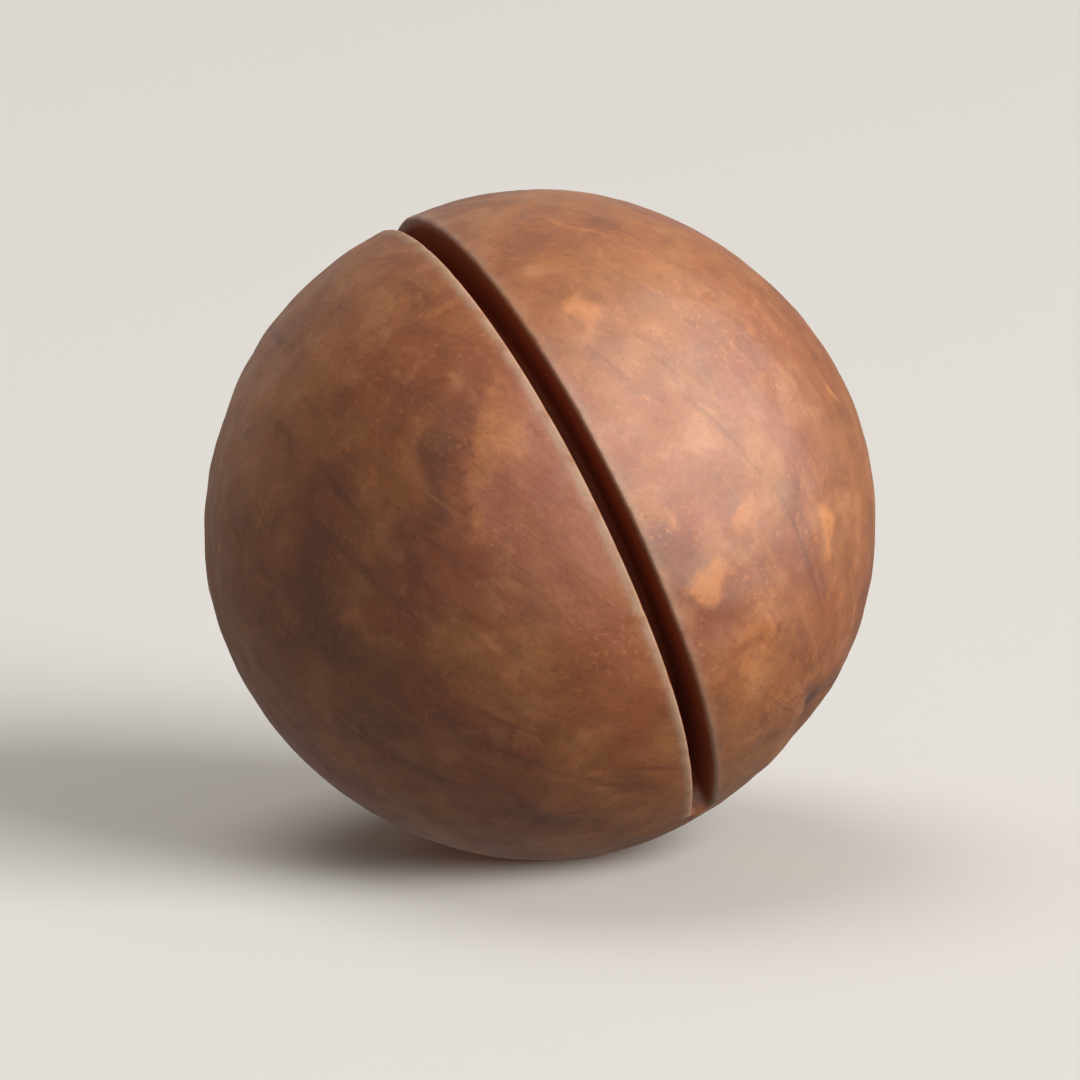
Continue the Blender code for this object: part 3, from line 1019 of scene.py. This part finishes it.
def grained_colour(nodes, place, colour):
    """Adds the finest marks: golden speckles in loose drifts, dark grain and pores."""
    speckle = nodes.range(nodes.noise(place, *SPECKLE_NOISE), *SPECKLE_LIMITS)
    drift = nodes.range(nodes.noise(place, *DRIFT_NOISE), *DRIFT_LIMITS, *DRIFT_SHARES)
    colour = nodes.overlaid(colour, GOLD, speckle, drift)
    colour = nodes.tinted(colour, DARK_SHELL, nodes.noise(place, *GRAIN_NOISE), *GRAIN_TINT)
    return nodes.tinted(colour, DARK_SHELL, nodes.cells(place, PORE_SCALE), *PORE_TINT)


def marked_colour(nodes, place, colour):
    """Adds the suture, the micropyle with its folds, painted shade in their valleys and painted
    light on their crests, and the hilum.
    """
    colour = nodes.overlaid(colour, DARK_SHELL, nodes.mask("suture"), SUTURE_DARKENING)
    # Painted shade in the folds' valleys and painted light on their crests
    colour = nodes.tinted(colour, DARK_SHELL, nodes.mask("fan"), *VALLEY_SHADE_TINT)
    colour = nodes.tinted(colour, GOLD, nodes.mask("fan"), *CREST_HIGHLIGHT_TINT)
    colour = nodes.overlaid(colour, DARK_SHELL, nodes.mask("moat"), MOAT_STAIN)
    grain = nodes.math("SUBTRACT", nodes.noise(place, *WEAR_NOISE), MICROPYLE_WEAR)
    worn = nodes.math("ADD", nodes.mask("micropyle"), grain)
    colour = nodes.mix(nodes.range(worn, *MICROPYLE_LIMITS), colour, CREAM)
    colour = nodes.overlaid(colour, DENT_BROWN, nodes.mask("dent"), DENT_DARKENING)
    return nodes.overlaid(colour, DARK_SHELL, nodes.mask("hilum"), HILUM_DARKENING)


def cut_colour(nodes, place, colour):
    """Adds the pale worn edge of the slit, painted lit on its near lip, and its inside in painted
    shade.
    """
    worn = nodes.range(nodes.noise(place, *WEAR_NOISE), *EDGE_WEAR_LIMITS, *EDGE_WEAR_SHARES)
    # The pale worn edge, paler on the near lip as painted light
    colour = nodes.overlaid(colour, PALE_WOOD, nodes.mask("bevel"), worn)
    # The slit's inside in painted shade, changing with depth
    painted_slit_shade = nodes.mix(nodes.range(nodes.mask("depth"), *DEPTH_LIMITS), SLIT_SHADE_BROWN, SLIT_DEEP_SHADE)
    return nodes.mix(nodes.range(nodes.mask("inside"), *INSIDE_LIMITS), colour, painted_slit_shade)


def shell_roughness(nodes, place):
    gloss = nodes.noise(place, *GLOSS_NOISE)
    shell = nodes.range(gloss, *GLOSS_LIMITS, *SHELL_ROUGHNESS)
    cut = nodes.math("MAXIMUM", nodes.mask("inside"), nodes.mask("bevel"))
    return nodes.math("MAXIMUM", shell, nodes.math("MULTIPLY", cut, CUT_ROUGHNESS))


def shell_bump(nodes, place):
    """Fine grain that the mesh is too coarse to carry."""
    grain = nodes.noise(place, *BUMP_NOISE)
    fibres = nodes.noise(nodes.around(FIBRE_STRETCH), *FIBRE_NOISE)
    bump = nodes.new("ShaderNodeBump")
    bump.inputs["Strength"].default_value = BUMP_STRENGTH
    bump.inputs["Distance"].default_value = BUMP_HEIGHT
    height = nodes.math("ADD", grain, nodes.math("MULTIPLY", fibres, FIBRE_SHARE))
    nodes.link(height, bump.inputs["Height"])
    return bump.outputs["Normal"]


def coat_weight(nodes):
    """The shell's polish, which the inside of the slit has none of."""
    inside = nodes.math("MULTIPLY", nodes.mask("inside"), COAT_WEIGHT)
    outside = nodes.math("SUBTRACT", COAT_WEIGHT, inside)
    return nodes.math("MULTIPLY", nodes.mask("polish"), outside)


def shell_material():
    nodes = Nodes("nut_shell")
    place = nodes.place()
    colour = spotted_colour(nodes, place, mottled_colour(nodes, place))
    colour = marked_colour(nodes, place, grained_colour(nodes, place, colour))
    nodes.set_shader("Base Color", cut_colour(nodes, place, colour))
    nodes.set_shader("Roughness", shell_roughness(nodes, place))
    nodes.set_shader("Normal", shell_bump(nodes, place))
    nodes.set_shader("Specular IOR Level", SHELL_SPECULAR)
    nodes.set_shader("Coat Weight", coat_weight(nodes))
    nodes.set_shader("Coat IOR", COAT_IOR)
    nodes.set_shader("Coat Roughness", COAT_ROUGHNESS)
    return nodes.material


def make_floor():
    size = FLOOR_HALF_SIZE
    corners = [(-size, -size, 0.0), (size, -size, 0.0), (size, size, 0.0), (-size, size, 0.0)]
    mesh = bpy.data.meshes.new("floor")
    mesh.from_pydata(corners, [], [(0, 1, 2, 3)])
    floor = add_object("floor", mesh)
    nodes = Nodes("floor")
    nodes.set_shader("Base Color", FLOOR_COLOUR)
    nodes.set_shader("Roughness", FLOOR_ROUGHNESS)
    nodes.set_shader("Specular IOR Level", 0.0)
    mesh.materials.append(nodes.material)
    floor.visible_diffuse = False
    floor.visible_glossy = False


def area_light(name, direction, distance, size, power, colour):
    light = bpy.data.lights.new(name, "AREA")
    light.shape = "RECTANGLE"
    light.size, light.size_y = size
    light.energy = power
    light.color = colour
    lamp = add_object(name, light)
    toward = Vector(direction).normalized()
    lamp.location = toward * distance
    lamp.rotation_mode = "QUATERNION"
    lamp.rotation_quaternion = toward.to_track_quat("Z", "Y")
    return lamp


def make_lights():
    """The gloss light gives only the sheen, and the key and top lights give none."""
    area_light("key", *KEY_LIGHT).visible_glossy = False
    area_light("gloss", *GLOSS_LIGHT).visible_diffuse = False
    area_light("top", *TOP_LIGHT).visible_glossy = False
    area_light("back", *BACK_LIGHT)
    world = bpy.data.worlds.new("studio")
    world.use_nodes = True
    sky = world.node_tree.nodes["Background"]
    sky.inputs["Color"].default_value = SKY_COLOUR
    sky.inputs["Strength"].default_value = SKY_STRENGTH
    bpy.context.scene.world = world
    bpy.context.scene.view_settings.view_transform = "Standard"


def make_camera():
    lens = bpy.data.cameras.new("camera")
    lens.sensor_width = SENSOR
    view_width = 2.0 * SHELL_RADIUS / NUT_SHARE_OF_VIEW
    lens.lens = SENSOR * CAMERA_DISTANCE / view_width
    lens.clip_start, lens.clip_end = NEAREST, FURTHEST
    camera = add_object("camera", lens)
    back = Vector((0.0, -math.cos(VIEW_ELEVATION), math.sin(VIEW_ELEVATION)))
    camera.location = Vector((0.0, 0.0, CENTRE_HEIGHT - AIM_DROP)) + back * CAMERA_DISTANCE
    camera.rotation_mode = "QUATERNION"
    camera.rotation_quaternion = back.to_track_quat("Z", "Y")
    bpy.context.scene.camera = camera


def main():
    nut = make_nut()
    nut.data.materials.append(shell_material())
    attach(nut, "root")
    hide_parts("nut")
    make_floor()
    make_lights()
    make_camera()


main()
